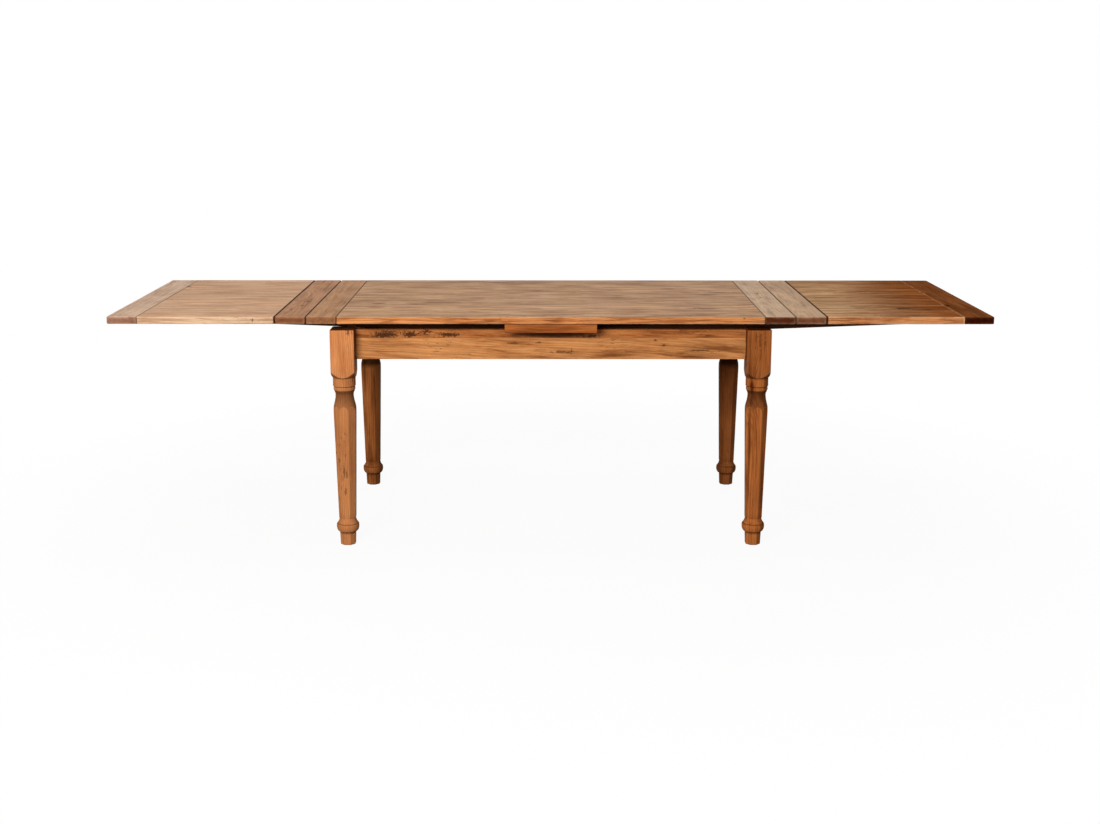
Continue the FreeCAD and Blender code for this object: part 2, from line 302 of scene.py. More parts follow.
def makeTimber():
    tree = bpy.data.node_groups.new("sawn timber", "ShaderNodeTree")
    openSockets(tree, "INPUT", timberInlets)
    openSockets(tree, "OUTPUT", timberOutlets)
    given = tree.nodes.new("NodeGroupInput").outputs
    grown = growTimber(tree, given)
    rubbed = times(tree, given["Wear"], band(tree, grown["blotch"], "rubbed"))
    out = tree.nodes.new("NodeGroupOutput").inputs
    tree.links.new(colourTimber(tree, given, grown, rubbed), out["Colour"])
    tree.links.new(roughenTimber(tree, given, grown, rubbed), out["Roughness"])
    tree.links.new(raiseTimber(tree, grown), out["Height"])
    return tree


# rubbed edges of a squared board, from how near a point lies to two of its faces at once

edgeInlets = {"Vector": ["Place", "Low", "High"], "Float": ["Reach"]}


def makeEdges():
    tree = bpy.data.node_groups.new("rubbed edges", "ShaderNodeTree")
    openSockets(tree, "INPUT", edgeInlets)
    openSockets(tree, "OUTPUT", {"Float": ["Edge"]})
    given = tree.nodes.new("NodeGroupInput").outputs
    below = steer(tree, "SUBTRACT", given["Place"], given["Low"])
    above = steer(tree, "SUBTRACT", given["High"], given["Place"])
    x, y, z = put(tree, "SeparateXYZ", {0: steer(tree, "MINIMUM", below, above)}).outputs
    lower = reckon(tree, "MINIMUM", x, y)
    upper = reckon(tree, "MAXIMUM", x, y)
    second = reckon(tree, "MAXIMUM", lower, reckon(tree, "MINIMUM", upper, z))
    edge = reckon(tree, "SUBTRACT", 1.0, reckon(tree, "DIVIDE", second, given["Reach"]))
    out = tree.nodes.new("NodeGroupOutput").inputs
    tree.links.new(reckon(tree, "MAXIMUM", edge, 0.0), out["Edge"])
    return tree


timber = makeTimber()
rubbedEdges = makeEdges()
print("timber and edge finishes ready")


# one finish for one board: its own place in the log, its own lightness, the same wax

# what a board has where its own settings say nothing else, in metres and in shares from 0 to 1
plainCut = {"rings": 0.005, "ringDepth": 0.3, "streaks": 0.6, "knots": 0.25, "flecks": 0.2, "cracks": 0.0,
            "grime": 0.3, "gloss": 0.5, "shine": 0.5, "bump": 0.35, "end": 0.6, "vary": 0.08, "tilt": 0.02,
            "figure": (1.0, 1.0),        # how fine the figure is, along and across the grain
            "pith": (0.03, -0.09),       # how far aside and below the pith lies
            "dirtAndShade": {}, "worn": {}, "tongue": 0.0, "marks": [], "markDepth": 0.75, "soften": 0.0012}
inletOf = {"Ring width": "rings", "Ring depth": "ringDepth", "Streaks": "streaks", "Knots": "knots",
           "Flecks": "flecks", "Cracks": "cracks", "Grime": "grime", "Gloss": "gloss"}
turns = {"x": (0.0, 0.0, 0.0), "y": (0.0, 0.0, math.pi / 2), "z": (0.0, math.pi / 2, 0.0)}
logSpread = {"along": (3, 60), "aside": (0.6, 1.4), "below": (0.7, 1.3)}
wax = {"rim": (0.0034, 0.0008),          # how far dirt and wear reach in from a joint
       "rimShare": 0.85, "faceOn": (0.55, 0.95), "upward": (0.6, 0.95), "edgeReach": 0.009,
       "bumpReach": 0.0012}
mark = {"crumbs": (130.0, 130.0, 130.0), "crumble": (3.0, 0.6, 0.8), "torn": 2.6, "edge": (1.0, 0.3),
        "intoTop": 0.01, "intoEdge": 0.02, "intoApron": 0.05, "intoLeg": 0.03}


def layInLog(cut, low, high, grain):
    tilt = [dice.uniform(-1, 1) * cut["tilt"] for _ in range(2)]
    x, y, z = turns[grain]
    turn = Euler((x, y + tilt[0], z + tilt[1]))
    fineAlong, fineAcross = cut["figure"]
    scale = [fineAlong if axis == grain else fineAcross for axis in "xyz"]
    there = turn.to_matrix() @ Vector([(a + b) / 2 * s for a, b, s in zip(low, high, scale)])
    along = dice.uniform(*logSpread["along"])
    aside = cut["pith"][0] * dice.uniform(*logSpread["aside"]) - there.y
    below = cut["pith"][1] * dice.uniform(*logSpread["below"]) - there.z
    return {"Location": (along, aside, below), "Rotation": turn, "Scale": scale}


def sawBoard(tree, place, cut, low, high, grain):
    wood = tree.nodes.new("ShaderNodeGroup")
    wood.node_tree = timber
    inLog = layInLog(cut, low, high, grain)
    tree.links.new(put(tree, "Mapping", {"Vector": place, **inLog}).outputs[0], wood.inputs["Grain"])
    lift = 1.0 + dice.uniform(-1, 1) * cut["vary"]
    for inlet in ("Pale", "Honey", "Dark"):
        r, g, b, solid = tone(*cut[inlet.lower()])
        wood.inputs[inlet].default_value = (r * lift, g * lift, b * lift, solid)
    for inlet, key in inletOf.items():
        wood.inputs[inlet].default_value = cut[key]
    wood.inputs["Ring width"].default_value *= cut["figure"][1]
    return wood


def sideOf(way):                         # a side such as -x as its sign and its axis
    return float(way[0] + "1"), "xyz".index(way[1])


def fromEnd(tree, place, way, cut, low, high):
    sign, axis = sideOf(way)
    hidden = cut["tongue"] if axis == 0 else 0.0
    end = (high if sign > 0 else low)[axis] - sign * hidden
    spot = put(tree, "SeparateXYZ", {0: place}).outputs[axis]
    return times(tree, reckon(tree, "SUBTRACT", end, spot), sign)


def darkenedSides(tree, place, facing, cut, low, high):
    masks = []                           # faces in joints and gaps, and a thin line along their edge
    for way, most in cut["dirtAndShade"].items():
        sign, axis = sideOf(way)
        inset = fromEnd(tree, place, way, cut, low, high)
        masks.append(ease(tree, times(tree, facing[axis], sign), *wax["faceOn"], 0.0, most))
        masks.append(ease(tree, inset, *wax["rim"], 0.0, wax["rimShare"] * most))
    return masks


def darkMarks(tree, place, cut):         # torn spots, and a painted shadow: where they lie, how far they reach, how ragged
    if not cut["marks"]:
        return []
    crumbs = cloud(tree, stretch(tree, place, *mark["crumbs"]), *mark["crumble"])
    ragged = reckon(tree, "SUBTRACT", timberShape["middle"], crumbs)
    masks = []
    for spot, reach, *torn in cut["marks"]:
        away = stretch(tree, steer(tree, "SUBTRACT", place, spot), *(1 / r for r in reach))
        away = steer(tree, "LENGTH", away, outlet="Value")
        away = more(tree, ragged, torn[0] if torn else mark["torn"], away)
        masks.append(ease(tree, away, *mark["edge"], 0.0, cut["markDepth"]))
    return masks


def rubbedWood(tree, place, cut, low, high):
    edges = tree.nodes.new("ShaderNodeGroup")
    edges.node_tree = rubbedEdges
    tree.links.new(place, edges.inputs["Place"])
    for inlet, value in (("Low", low), ("High", high), ("Reach", wax["edgeReach"])):
        edges.inputs[inlet].default_value = value
    rubbed = [edges.outputs["Edge"]]
    for way, most in cut["worn"].items():
        rubbed.append(ease(tree, fromEnd(tree, place, way, cut, low, high), *wax["rim"], 0.0, most))
    return greatest(tree, rubbed)


def shadedEnd(tree, place, facing, endShade):    # painted shade: the upper side, darker towards one end
    x = put(tree, "SeparateXYZ", {0: place}).outputs[0]
    amount = ease(tree, x, endShade["start"], endShade["end"], 0.0, endShade["most"])
    return times(tree, ease(tree, facing[2], *wax["upward"]), amount)


def lookingAlong(tree, facing, axis, most):
    return ease(tree, reckon(tree, "ABSOLUTE", facing["xyz".index(axis)]), *wax["faceOn"], 0.0, most)


def waxedWood(name, cut, low, high, grain, painted=False):
    # painted is for a mesh that brings its own wear, dirt and painted shade along
    material, tree = blankFinish(name)
    place = put(tree, "TexCoord").outputs["Object"]
    facing = put(tree, "SeparateXYZ", {0: put(tree, "TexCoord").outputs["Normal"]}).outputs
    wood = sawBoard(tree, place, cut, low, high, grain)
    masks = {"End grain": lookingAlong(tree, facing, grain, cut["end"])}
    if "endShade" in cut:
        masks["End shade"] = shadedEnd(tree, place, facing, cut["endShade"])
    # the front and back edges get painted light and shade, apart from the upper side
    if "sideLighting" in cut:
        wood.inputs["Side lighting"].default_value = tone(*cut["sideLighting"])
        masks["Long side"] = lookingAlong(tree, facing, "y", 1.0)
    # joints, marks and the leg's hollow mask darken towards the dirt colour; on the legs that mask is mostly
    # painted shade
    dirt = darkenedSides(tree, place, facing, cut, low, high) + darkMarks(tree, place, cut)
    if painted:
        masks["Wear"] = put(tree, "Attribute", attribute_name="arris").outputs["Fac"]
        dirt.append(put(tree, "Attribute", attribute_name="hollow").outputs["Fac"])
    else:
        masks["Wear"] = rubbedWood(tree, place, cut, low, high)
    if dirt:
        masks["Hollow"] = greatest(tree, dirt)
    for inlet, mask in masks.items():
        tree.links.new(mask, wood.inputs[inlet])
    bump = put(tree, "Bump", {
        "Strength": cut["bump"], "Distance": wax["bumpReach"], "Height": wood.outputs["Height"]})
    closeFinish(tree, put(tree, "BsdfPrincipled", {
        "Base Color": wood.outputs["Colour"], "Roughness": wood.outputs["Roughness"],
        "Normal": bump.outputs[0], "Specular IOR Level": cut["shine"]}))
    return material


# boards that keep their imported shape: seams closed, flat faces joined, edges softened

planed = {"weld": 0.00001, "flatWithin": math.radians(0.5), "edgeFrom": math.radians(25), "rounds": 3}


def dressBoard(name, cut, grain):
    board = nodes[name]
    low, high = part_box(name)
    cut = {**plainCut, **cut}
    finish = waxedWood(name + " finish", cut, tuple(low), tuple(high), grain)
    for place in board.material_slots:
        place.material = finish
    board.modifiers.new("seams", "WELD").merge_threshold = planed["weld"]
    flat = board.modifiers.new("flat faces", "DECIMATE")
    flat.decimate_type = "DISSOLVE"
    flat.angle_limit = planed["flatWithin"]
    soft = board.modifiers.new("softened edges", "BEVEL")
    soft.width = cut["soften"]
    soft.segments = planed["rounds"]
    soft.limit_method = "ANGLE"
    soft.angle_limit = planed["edgeFrom"]


# planks of the main top and the leaves

topLevel = cadBox[1].z
frontEdge = cadBox[0].y
plankCount = 7


def topMark(x, y, along, across):        # on the upper side
    return (x, y, topLevel), (along, across, mark["intoTop"])


def edgeMark(x, z, wide, high):          # on the front edge
    return (x, frontEdge, z), (wide, mark["intoEdge"], high)


def seams(cut, number):                  # dark lines where the planks meet, but not on the outer edges
    inner = {"-y": cut["seam"]} if number > 1 else {}
    if number < plankCount:
        inner["+y"] = cut["seam"]
    return {**cut, "dirtAndShade": {**cut["dirtAndShade"], **inner}}


topPlank = {"rings": 0.006, "soften": 0.0009, "tongue": 0.024, "figure": (1.8, 1.7)}
# the side tint of each top is painted light and shade on its front and back edges
mainTop = {**topPlank, "pale": (225, 181, 140), "honey": (197, 149, 106), "dark": (108, 60, 32),
           "ringDepth": 0.32, "streaks": 0.5, "knots": 0.3, "flecks": 0.4, "cracks": 0.55, "grime": 0.2,
           "vary": 0.12, "gloss": 0.55, "shine": 0.008, "sideLighting": (268, 223, 177),
           "seam": 0.6, "dirtAndShade": {"-x": 0.6, "+x": 0.6},
           "marks": [topMark(-0.592, -0.156, 0.03, 0.014), topMark(0.56, 0.055, 0.045, 0.016),
                     topMark(0.526, -0.266, 0.05, 0.012), edgeMark(0.631, 0.785, 0.006, 0.004)]}
leftLeaf = {**topPlank, "pale": (247, 207, 172), "honey": (236, 178, 138), "dark": (153, 97, 63),
            "ringDepth": 0.26, "streaks": 0.45, "knots": 0.3, "flecks": 0.3, "cracks": 0.38, "grime": 0.12,
            "vary": 0.08, "gloss": 0.4, "shine": 0.008, "sideLighting": (238, 246, 246),
            "seam": 0.5, "dirtAndShade": {"-x": 0.5, "+x": 0.9},
            "marks": [topMark(-1.349, 0.27, 0.016, 0.02), edgeMark(-0.974, 0.778, 0.005, 0.008)]}
rightLeaf = {**topPlank, "pale": (252, 209, 163), "honey": (240, 177, 123), "dark": (125, 71, 40),
             "ringDepth": 0.3, "streaks": 0.55, "knots": 0.35, "flecks": 0.3, "cracks": 0.5, "grime": 0.25,
             "vary": 0.1, "gloss": 0.5, "shine": 0.0, "sideLighting": (242, 203, 171),
             # the upper side darker towards the outer end is painted shade
             # the worn +x end is a pale line along the outer joint: rubbed wood and a painted highlight
             "endShade": {"start": 0.92, "end": 1.34, "most": 0.88}, "dirtAndShade": {"-x": 0.9}, "worn": {"+x": 2.5},
             "marks": [topMark(1.19, -0.26, 0.034, 0.02)]}
for number in range(1, plankCount + 1):
    dressBoard(f"main_plank_{number}", seams(mainTop, number), "x")
for number in range(1, plankCount + 1):
    dressBoard(f"left_leaf_plank_{number}", seams(leftLeaf, number), "x")
    dressBoard(f"right_leaf_plank_{number}", rightLeaf, "x")


# breadboard ends, each from another board

crossEnd = {"ringDepth": 0.2, "streaks": 0.4, "cracks": 0.15, "grime": 0.25, "gloss": 0.55, "vary": 0.04,
            "shine": 0.01, "dirtAndShade": {"-x": 0.6, "+x": 0.6}, "figure": (1.6, 1.3)}
# the end grain at the front and back darker on the right-hand boards: partly the wood's own colour and dirt,
# partly painted shade
breadboards = {
    "left_leaf_outer_breadboard": {
        "pale": (243, 209, 181), "honey": (225, 186, 155), "dark": (145, 96, 66), "end": 0.71,
        "dirtAndShade": {"+x": 0.45}},
    "left_leaf_inner_breadboard": {
        "pale": (204, 152, 112), "honey": (164, 111, 78), "dark": (86, 48, 32), "end": 0.72,
        "dirtAndShade": {"-x": 0.9, "+x": 0.6},
        "marks": [topMark(-0.873, -0.293, 0.006, 0.024), topMark(-0.85, -0.203, 0.006, 0.02),
                  topMark(-0.844, -0.109, 0.007, 0.02)]},
    "main_left_breadboard": {
        "pale": (207, 158, 115), "honey": (175, 124, 84), "dark": (103, 60, 38), "end": 0.6},
    "main_right_breadboard": {
        "pale": (228, 195, 161), "honey": (204, 166, 131), "dark": (132, 90, 61), "end": 1.0,
        "dirtAndShade": {"-x": 0.6, "+x": 0.6, "-y": 0.48, "+y": 0.48},
        "marks": [topMark(0.749, 0.093, 0.006, 0.024), topMark(0.746, -0.008, 0.005, 0.018)]},
    "right_leaf_inner_breadboard": {
        "pale": (226, 188, 150), "honey": (201, 159, 120), "dark": (127, 84, 54), "end": 0.87,
        "dirtAndShade": {"-x": 0.6, "+x": 0.9}},
    "right_leaf_outer_breadboard": {
        "pale": (172, 104, 58), "honey": (142, 84, 46), "dark": (73, 39, 19), "end": 1.0, "shine": 0.0,
        "dirtAndShade": {"-y": 0.6, "+y": 0.6}, "soften": 0.003},
}
for name, colours in breadboards.items():
    dressBoard(name, {**crossEnd, **colours}, "y")
print("top, leaves and breadboard ends finished")


# dirt and old wax packed in the joints beside the breadboard ends, and in one joint pale bare wood with a
# painted highlight

packed = {"sunk": 0.0012, "inset": 0.0008, "leafJoint": 0.004, "endJoint": 0.0016,
          "crumbs": (300.0, 60.0, 300.0), "crumble": (3.0, 0.6), "rough": 0.85, "shine": 0.05, "bump": 0.5,
          "bumpReach": 0.0006}


def makeJointFill(name, dark, light):
    material, tree = blankFinish(name)
    place = put(tree, "TexCoord").outputs["Object"]
    crumbs = cloud(tree, stretch(tree, place, *packed["crumbs"]), *packed["crumble"])
    bump = put(tree, "Bump", {"Strength": packed["bump"], "Distance": packed["bumpReach"], "Height": crumbs})
    closeFinish(tree, put(tree, "BsdfPrincipled", {
        "Base Color": lay(tree, crumbs, dark, light), "Roughness": packed["rough"], "Normal": bump.outputs[0],
        "Specular IOR Level": packed["shine"]}))
    return material


def packJoint(board, body, side, width, dirt):
    low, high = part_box(board)
    x0 = high.x if side > 0 else low.x - width
    ys = (low.y + packed["inset"], high.y - packed["inset"])
    zs = (low.z + packed["inset"], high.z - packed["sunk"])
    spots = [(x, y, z) for x in (x0, x0 + width) for y in ys for z in zs]
    faces = [(0, 1, 3, 2), (4, 6, 7, 5), (0, 4, 5, 1), (2, 3, 7, 6), (0, 2, 6, 4), (1, 5, 7, 3)]
    mesh = meshOf(board + " joint", spots, faces)
    mesh.materials.append(dirt)
    piece = setOut(board + "_joint_dirt", mesh)
    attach(piece, body)


blackDirt = makeJointFill("dirt in the joints", tone(26, 13, 7), tone(48, 24, 12))
bareWoodAndHighlight = makeJointFill("bare wood and painted highlight in the joint", tone(206, 150, 96), tone(232, 184, 130))
packJoint("left_leaf_inner_breadboard", "left_leaf", -1, packed["leafJoint"], blackDirt)
packJoint("right_leaf_inner_breadboard", "right_leaf", 1, packed["leafJoint"], blackDirt)
packJoint("left_leaf_outer_breadboard", "left_leaf", 1, packed["endJoint"], blackDirt)
# pale bare wood in the right leaf's outer joint, partly a painted highlight
packJoint("right_leaf_outer_breadboard", "right_leaf", -1, packed["endJoint"], bareWoodAndHighlight)
packJoint("main_left_breadboard", "main_top", 1, packed["endJoint"], blackDirt)
packJoint("main_right_breadboard", "main_top", -1, packed["endJoint"], blackDirt)
print("joints packed with dirt")


# aprons, centre board, runners and pegs

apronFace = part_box("front_apron_upper_strip")[0].y


def apronMark(x, z, wide, high, *torn):
    return (x, apronFace, z), (wide, mark["intoApron"], high), *torn


aprons = {"pale": (221, 155, 96), "honey": (192, 123, 68), "dark": (104, 56, 26), "rings": 0.008,
          "ringDepth": 0.24, "streaks": 0.9, "knots": 0.35, "flecks": 0.5, "cracks": 0.3, "grime": 0.2,
          "gloss": 0.45, "shine": 0.05, "tilt": 0.05, "figure": (1.5, 1.2), "soften": 0.0015}
strip = {**aprons, "pale": (214, 138, 78), "honey": (182, 107, 54), "dark": (80, 40, 18), "flecks": 1.0,
         "knots": 0.5}
burrsAndShadow = [apronMark(-0.545, 0.72, 0.06, 0.017), apronMark(-0.467, 0.722, 0.04, 0.014),
         apronMark(-0.416, 0.727, 0.021, 0.012), apronMark(-0.34, 0.719, 0.044, 0.011),
         apronMark(0.02, 0.7205, 0.19, 0.0185, 0.3),         # painted shadow under the centre board
         apronMark(0.13, 0.715, 0.034, 0.009)]
scars = [apronMark(-0.13, 0.691, 0.026, 0.003), apronMark(-0.04, 0.693, 0.014, 0.004),
         apronMark(0.068, 0.664, 0.004, 0.014), apronMark(0.04, 0.661, 0.05, 0.005),
         apronMark(0.347, 0.7, 0.009, 0.006), apronMark(0.374, 0.684, 0.01, 0.006),
         apronMark(0.49, 0.666, 0.05, 0.004)]
dressBoard("front_apron_upper_strip", {**strip, "marks": burrsAndShadow, "markDepth": 0.95}, "x")
dressBoard("front_apron_lower_board", {**aprons, "marks": scars, "markDepth": 0.7}, "x")
dressBoard("rear_apron_upper_strip", strip, "x")
dressBoard("rear_apron_lower_board", aprons, "x")
for side in ("left", "right"):
    dressBoard(side + "_end_apron", aprons, "y")
# its +z side: a dark line where the main top lies on it, dirt and painted shade
centreBoard = {**aprons, "pale": (209, 126, 64), "honey": (166, 86, 36), "flecks": 0.6, "dirtAndShade": {"+z": 0.8}}
dressBoard("centre_board", centreBoard, "x")

# runners, keepers and stop blocks: old dark wood, darkened further as painted shade in the slot and under the
# leaves
runners = {"pale": (76, 39, 18), "honey": (57, 28, 12), "dark": (35, 16, 8), "gloss": 0.25, "streaks": 0.7,
           "grime": 0.4, "soften": 0.0016, "shine": 0.1}
keepers = {**runners, "pale": (98, 56, 30)}
dressBoard("centre_rail", {**runners, "shine": 0.02}, "x")
for side in ("left", "right"):
    for place in ("front", "rear"):
        dressBoard(f"{side}_{place}_loper", runners, "x")
        dressBoard(f"{side}_{place}_keeper", keepers, "y")
    dressBoard(side + "_stop_blocks", runners, "y")
pegs = {"pale": (206, 162, 108), "honey": (176, 126, 76), "dark": (120, 76, 42), "gloss": 0.25,
        "soften": 0.0015}
dressBoard("guide_pegs", pegs, "z")
dressBoard("peg_keys", pegs, "x")
print("frame and runners finished")


# legs: a square block with rounded lobes, a turned neck, eight flats and a ring, in millimetres

leg = {"blockHalf": 40.0, "edgeInset": 1.74, "edgeBlend": 2.5, "top": 741.5, "topSoft": 2.0, "topCurve": 0.35,
       "lobeTop": 600.0, "lobeBottom": 578.0, "lobeRadius": 38.0, "collarRadius": 37.7, "collarBottom": 549.5,
       "grooveHeight": 3.0, "grooveRadius": 34.4, "beadRadius": 36.2, "beadBottom": 535.0, "beadEnd": 34.4,
       "neckTop": 522.0, "neckBottom": 517.0, "neckRadius": 30.3, "shaftTop": 480.0, "shoulder": 462.0,
       "shoulderRadius": 39.7, "scallopReach": 20.0, "shaftBottom": 94.0, "flatTop": 37.0, "flatBottom": 27.8,
       "ringCrease": 73.0, "creaseRadius": 36.4, "ringMiddle": 64.0, "ringBottom": 45.0, "ringRadius": 38.2,
       "ringEnd": 28.0, "footTop": 26.4, "footBottom": 24.6, "toe": 2.0, "toeSlope": 0.8, "blend": 0.5,
       "wobble": 0.25, "wobbleTwist": 0.013, "wobbleRise": 0.031, "around": 96, "sharpFrom": math.radians(32)}
beadTop = leg["collarBottom"] - leg["grooveHeight"]
millimetres = 1000                       # in a metre


def glide(z, z0, r0, z1, r1):            # a smooth turn from one radius to another
    t = (z0 - z) / (z0 - z1)
    return r0 + (r1 - r0) * t * t * (3 - 2 * t)


def bulge(t, end, middle):               # half a round, from -1 to 1
    return end + (middle - end) * math.sqrt(max(0.0, 1 - t * t))


def softLeast(a, b, blend):
    h = max(blend - abs(a - b), 0.0) / blend
    return min(a, b) - h * h * blend / 4


def fromFlat(angle, sides):              # how far round from the middle of the nearest flat
    half = math.pi / sides
    return (angle + half) % (2 * half) - half


def fromArris(angle, sides):
    return abs(abs(fromFlat(angle, sides)) - math.pi / sides)


def turnedRadius(z):
    if z > leg["collarBottom"]:
        return leg["collarRadius"]
    if z > beadTop:
        return leg["grooveRadius"]
    if z > leg["beadBottom"]:
        half = (beadTop - leg["beadBottom"]) / 2
        return bulge((z - leg["beadBottom"] - half) / half, leg["beadEnd"], leg["beadRadius"])
    if z > leg["neckTop"]:
        return glide(z, leg["beadBottom"], leg["beadEnd"], leg["neckTop"], leg["neckRadius"])
    if z > leg["neckBottom"]:
        return leg["neckRadius"]
    if z > leg["shoulder"]:
        return glide(z, leg["neckBottom"], leg["neckRadius"], leg["shoulder"], leg["shoulderRadius"])
    return leg["shoulderRadius"]


def ringRadius(z):
    if z > leg["ringCrease"]:
        t = (leg["shaftBottom"] - z) / (leg["shaftBottom"] - leg["ringCrease"])
        return leg["ringEnd"] + (leg["creaseRadius"] - leg["ringEnd"]) * t * t
    t = (z - leg["ringMiddle"]) / (leg["ringMiddle"] - leg["ringBottom"])
    return bulge(t, leg["ringEnd"], leg["ringRadius"])


def flatRadius(z, angle):                # out to the eight tapered flats
    rate = (leg["flatTop"] - leg["flatBottom"]) / (leg["shaftTop"] - leg["shaftBottom"])
    return (leg["flatTop"] + rate * (z - leg["shaftTop"])) / math.cos(fromFlat(angle, 8))


def legRadius(z, angle):
    corner = leg["blockHalf"] * math.sqrt(2)
    square = leg["blockHalf"] / math.cos(fromFlat(angle, 4))
    square = softLeast(square, corner - leg["edgeInset"], leg["edgeBlend"])
    if z >= leg["lobeTop"]:
        return square - max(0.0, z - leg["top"] + leg["topSoft"]) ** 2 * leg["topCurve"]
    if z >= leg["lobeBottom"]:
        t = (leg["lobeTop"] - z) / (leg["lobeTop"] - leg["lobeBottom"])
        return softLeast(square, corner + (leg["lobeRadius"] - corner) * t, leg["blend"])
    if z >= leg["shaftBottom"]:
        return softLeast(turnedRadius(z), flatRadius(z, angle), leg["blend"])
    if z >= leg["ringBottom"]:
        return ringRadius(z)
    flat = leg["footBottom"] + (leg["footTop"] - leg["footBottom"]) * z / leg["ringBottom"]
    return flat / math.cos(fromFlat(angle, 8)) - max(0.0, leg["toe"] - z) * leg["toeSlope"]


def legLevels():                         # rows of points from the top down, closer where the shape turns
    levels = [leg["top"] - down for down in (0.0, 0.4, 0.9, 1.4, leg["topSoft"])]
    brink, lip = 0.05, 0.6               # just past a sharp step, and the slope into the groove
    # down to which level, and how far apart the rows are on the way
    rows = [(leg["lobeTop"], 24), (leg["lobeBottom"], 0.85), (leg["lobeBottom"] - brink, 1),
            (leg["collarBottom"] + 1, 6), (leg["collarBottom"] + brink, 0.5), (leg["collarBottom"] - lip, 1),
            (beadTop + lip, 1), (beadTop - brink, 1), (leg["beadBottom"], 0.7), (leg["shoulder"] - 3, 1.1),
            (400, 6), (leg["shaftBottom"], 18), (leg["ringCrease"], 1.4), (leg["ringBottom"] + 3, 1.2),
            (leg["ringBottom"], 0.4), (leg["ringBottom"] - brink, 1), (3, 8), (0, 1)]
    for end, apart in rows:
        start = levels[-1]
        count = max(1, round((start - end) / apart))
        levels.extend(start + (end - start) * i / count for i in range(1, count + 1))
    return levels


# where a leg is darker in its grooves, creases and under its bulges, as painted shade with some dirt: height,
# how far it spreads and how dark it is
hollows = [(leg["top"] + 0.6, 2.2, 1.0), (leg["lobeBottom"] - 1.0, 2.6, 0.8),
           (leg["collarBottom"] - 1.5, 2.6, 1.0), (leg["beadBottom"] - 2.0, 4.5, 0.9),
           (leg["ringCrease"] + 0.5, 2.6, 0.75), (leg["ringBottom"], 3.2, 0.9),
           (leg["shaftBottom"] + 2.0, 5.0, 0.45)]
legShadeAndDirt = {"lobe": 0.6, "lobeInset": 0.4, "beside": 0.8, "besideInset": 0.5, "besideReach": 10.0,
           "besideStart": 0.2, "neckLeast": 0.45, "shade": 0.95, "shadeStart": 0.5, "shadeReach": 20.0,
           "inward": 0.45}
# scallop: a pale line where the flats run into the neck, rubbed wear with a painted highlight
legWear = {"plain": 0.35, "arrisReach": 0.09, "scallop": 2.0, "scallopReach": 0.5}
levels = legLevels()


def within(value):                       # held between 0 and 1
    return min(1.0, max(0.0, value))


def inNeck(z):
    return leg["shoulder"] - leg["scallopReach"] < z < leg["beadBottom"]


def paintedShadeAndDirt(z, x, y, way, rear, neck, dull):
    # x and y from the axis of the leg, way is the side of the table that it stands on
    half = leg["blockHalf"]
    dark = [max(0.0, 1 - abs(z - at) / wide) * most for at, wide, most in hollows]
    dark.append(dull[0] if z > leg["lobeBottom"] else dull[1])
    # painted shade on the undersides of the lobes
    if leg["lobeBottom"] < z < leg["lobeTop"] and max(abs(x), abs(y)) < half - legShadeAndDirt["lobeInset"]:
        dark.append(legShadeAndDirt["lobe"])
    if z > leg["lobeTop"] and -x * way > half - legShadeAndDirt["besideInset"]:      # the face that the apron meets, darker towards the apron: dirt and painted shade in the corner
        inside = (half + (-y if rear else y)) / legShadeAndDirt["besideReach"]
        dark.append(legShadeAndDirt["beside"] * within(inside - legShadeAndDirt["besideStart"]))
    # painted shade in the neck, darkest under the bead
    if inNeck(z) and turnedRadius(z) < flatRadius(z, math.atan2(y, x)):
        rise = (z - leg["shoulder"]) / (leg["beadBottom"] - leg["shoulder"])
        dark.append(neck * (legShadeAndDirt["neckLeast"] + (1 - legShadeAndDirt["neckLeast"]) * rise))
    # painted shade on the rear legs: darker above the shoulder towards the middle of the table, and on their
    # inner sides
    if rear:
        out = math.hypot(x, y)
        shaded = within(legShadeAndDirt["shadeStart"] - y / out)                     # towards the middle of the table
        dark.append(legShadeAndDirt["shade"] * shaded * within((z - leg["shoulder"]) / legShadeAndDirt["shadeReach"]))
        dark.append(legShadeAndDirt["inward"] * max(0.0, -x * way / out))
    return max(dark)


def arrisWearAndHighlight(z, angle):
    plain = leg["shaftBottom"] > z > leg["ringBottom"] or leg["lobeBottom"] > z > leg["shaftTop"]
    sides = 4 if z > leg["lobeBottom"] else 8
    worn = legWear["plain"] if plain else 1 - fromArris(angle, sides) / legWear["arrisReach"]
    # the pale scallop line is partly a painted highlight
    if inNeck(z):
        scallop = 1 - abs(turnedRadius(z) - flatRadius(z, angle)) / legWear["scallopReach"]
        worn = max(worn, legWear["scallop"] * scallop)
    return max(0.0, worn)


def handTurned(z, angle, turn):          # a little under the true round
    wave = math.sin(2 * angle + turn + z * leg["wobbleTwist"]) * math.sin(z * leg["wobbleRise"] + turn)
    return leg["wobble"] * (0.5 + 0.5 * wave)


